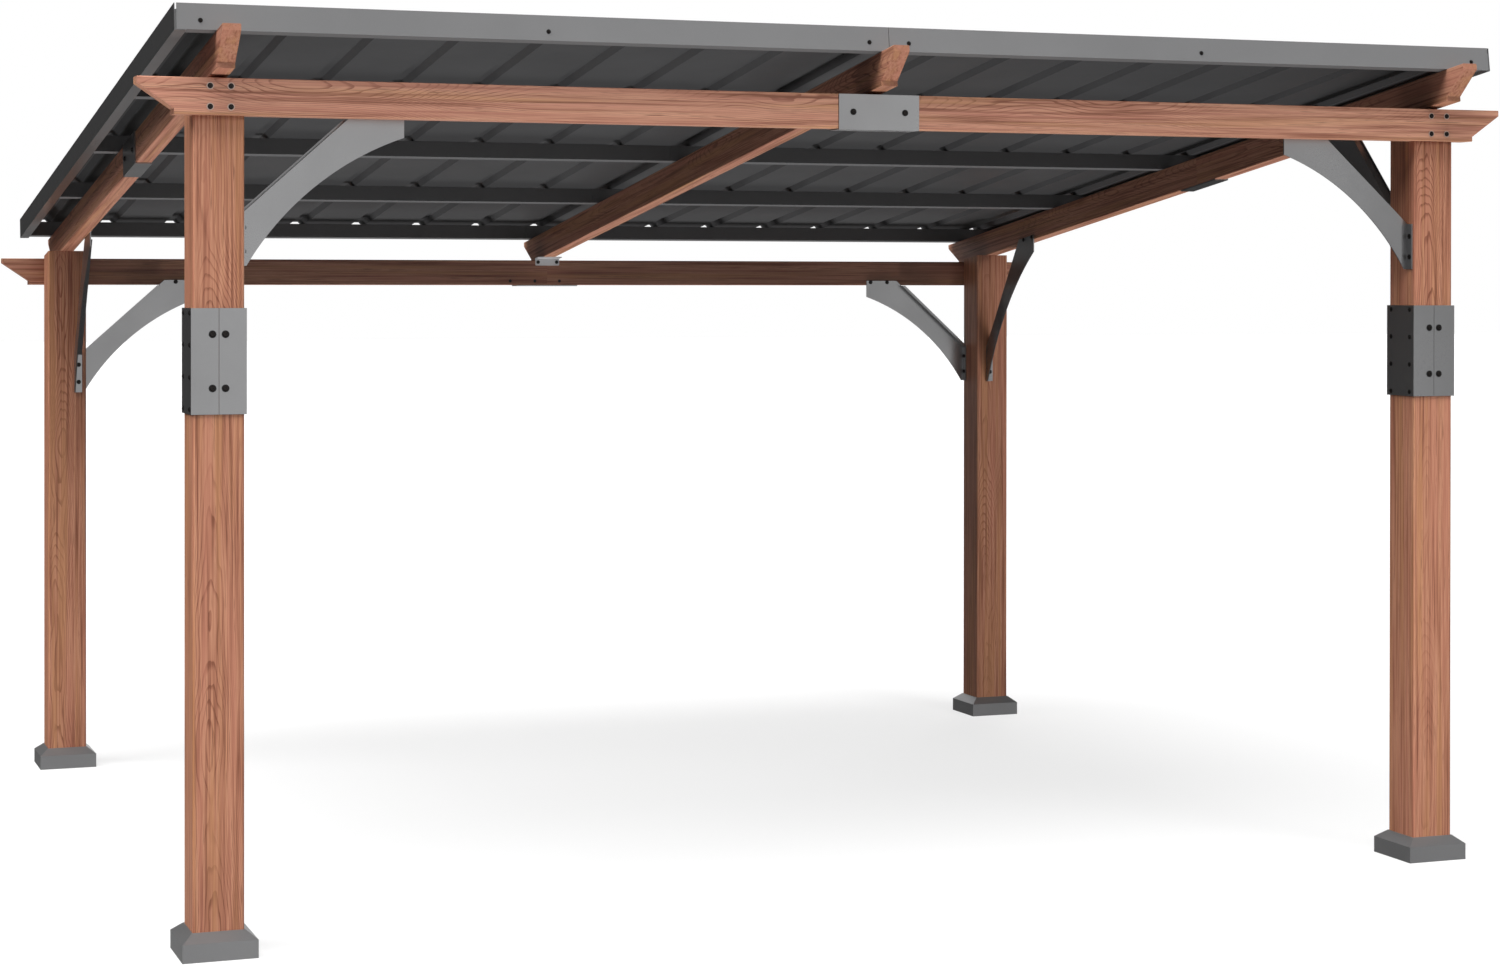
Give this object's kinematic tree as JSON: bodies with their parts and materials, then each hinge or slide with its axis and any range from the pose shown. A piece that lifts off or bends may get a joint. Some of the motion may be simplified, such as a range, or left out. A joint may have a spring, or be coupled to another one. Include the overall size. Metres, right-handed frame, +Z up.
{
  "type": "hardtop gazebo",
  "caption": "Open garden shelter with square wooden posts, shaped beams and rafters, steel knee braces and a ribbed steel roof that slopes one way.",
  "frame": {"origin": "on the ground, under the middle of the box round the whole object", "axes": "+X along the beams to the right as seen from the high front, +Y from the high front to the low rear, +Z up"},
  "size_m": [4.284, 3.8416, 2.567],
  "materials": {
    "stained_wood": "red-brown stained timber, satin",
    "grey_steel": "mid grey powder coat, satin",
    "foot_steel": "dark grey powder coat, satin",
    "charcoal_steel": "charcoal coated sheet steel, satin",
    "bracket_steel": "light grey powder coat, satin"
  },
  "bodies": {
    "root": {"brace_front_left_along_beam": "grey_steel", "brace_front_left_along_rafter": "grey_steel", "brace_front_right_along_beam": "grey_steel", "brace_front_right_along_rafter": "grey_steel", "brace_rear_left_along_beam": "grey_steel", "brace_rear_left_along_rafter": "grey_steel", "brace_rear_right_along_beam": "grey_steel", "brace_rear_right_along_rafter": "grey_steel", "collar_front_left": "grey_steel", "collar_front_right": "grey_steel", "foot_front_left": "foot_steel", "foot_front_right": "foot_steel", "foot_rear_left": "foot_steel", "foot_rear_right": "foot_steel", "front_beam_joint_cover": "grey_steel", "front_beam_left": "stained_wood", "front_beam_right": "stained_wood", "post_front_left_lower": "stained_wood", "post_front_left_upper": "stained_wood", "post_front_right_lower": "stained_wood", "post_front_right_upper": "stained_wood", "post_rear_left": "stained_wood", "post_rear_right": "stained_wood", "purlin_front": "charcoal_steel", "purlin_joint_plates": "charcoal_steel", "purlin_rear": "charcoal_steel", "purlins_middle": "charcoal_steel", "rafter_brackets": "bracket_steel", "rafter_left_front": "stained_wood", "rafter_left_joint_cover": "grey_steel", "rafter_left_rear": "stained_wood", "rafter_middle": "stained_wood", "rafter_right_front": "stained_wood", "rafter_right_joint_cover": "grey_steel", "rafter_right_rear": "stained_wood", "rear_beam_joint_cover": "grey_steel", "rear_beam_left": "stained_wood", "rear_beam_right": "stained_wood", "roof_front_trim": "grey_steel", "roof_panel_1": "charcoal_steel", "roof_panel_2": "charcoal_steel", "roof_panel_3": "charcoal_steel", "roof_panel_4": "charcoal_steel", "roof_side_trim_left": "charcoal_steel", "roof_side_trim_right": "charcoal_steel"}
  },
  "joints": []
}
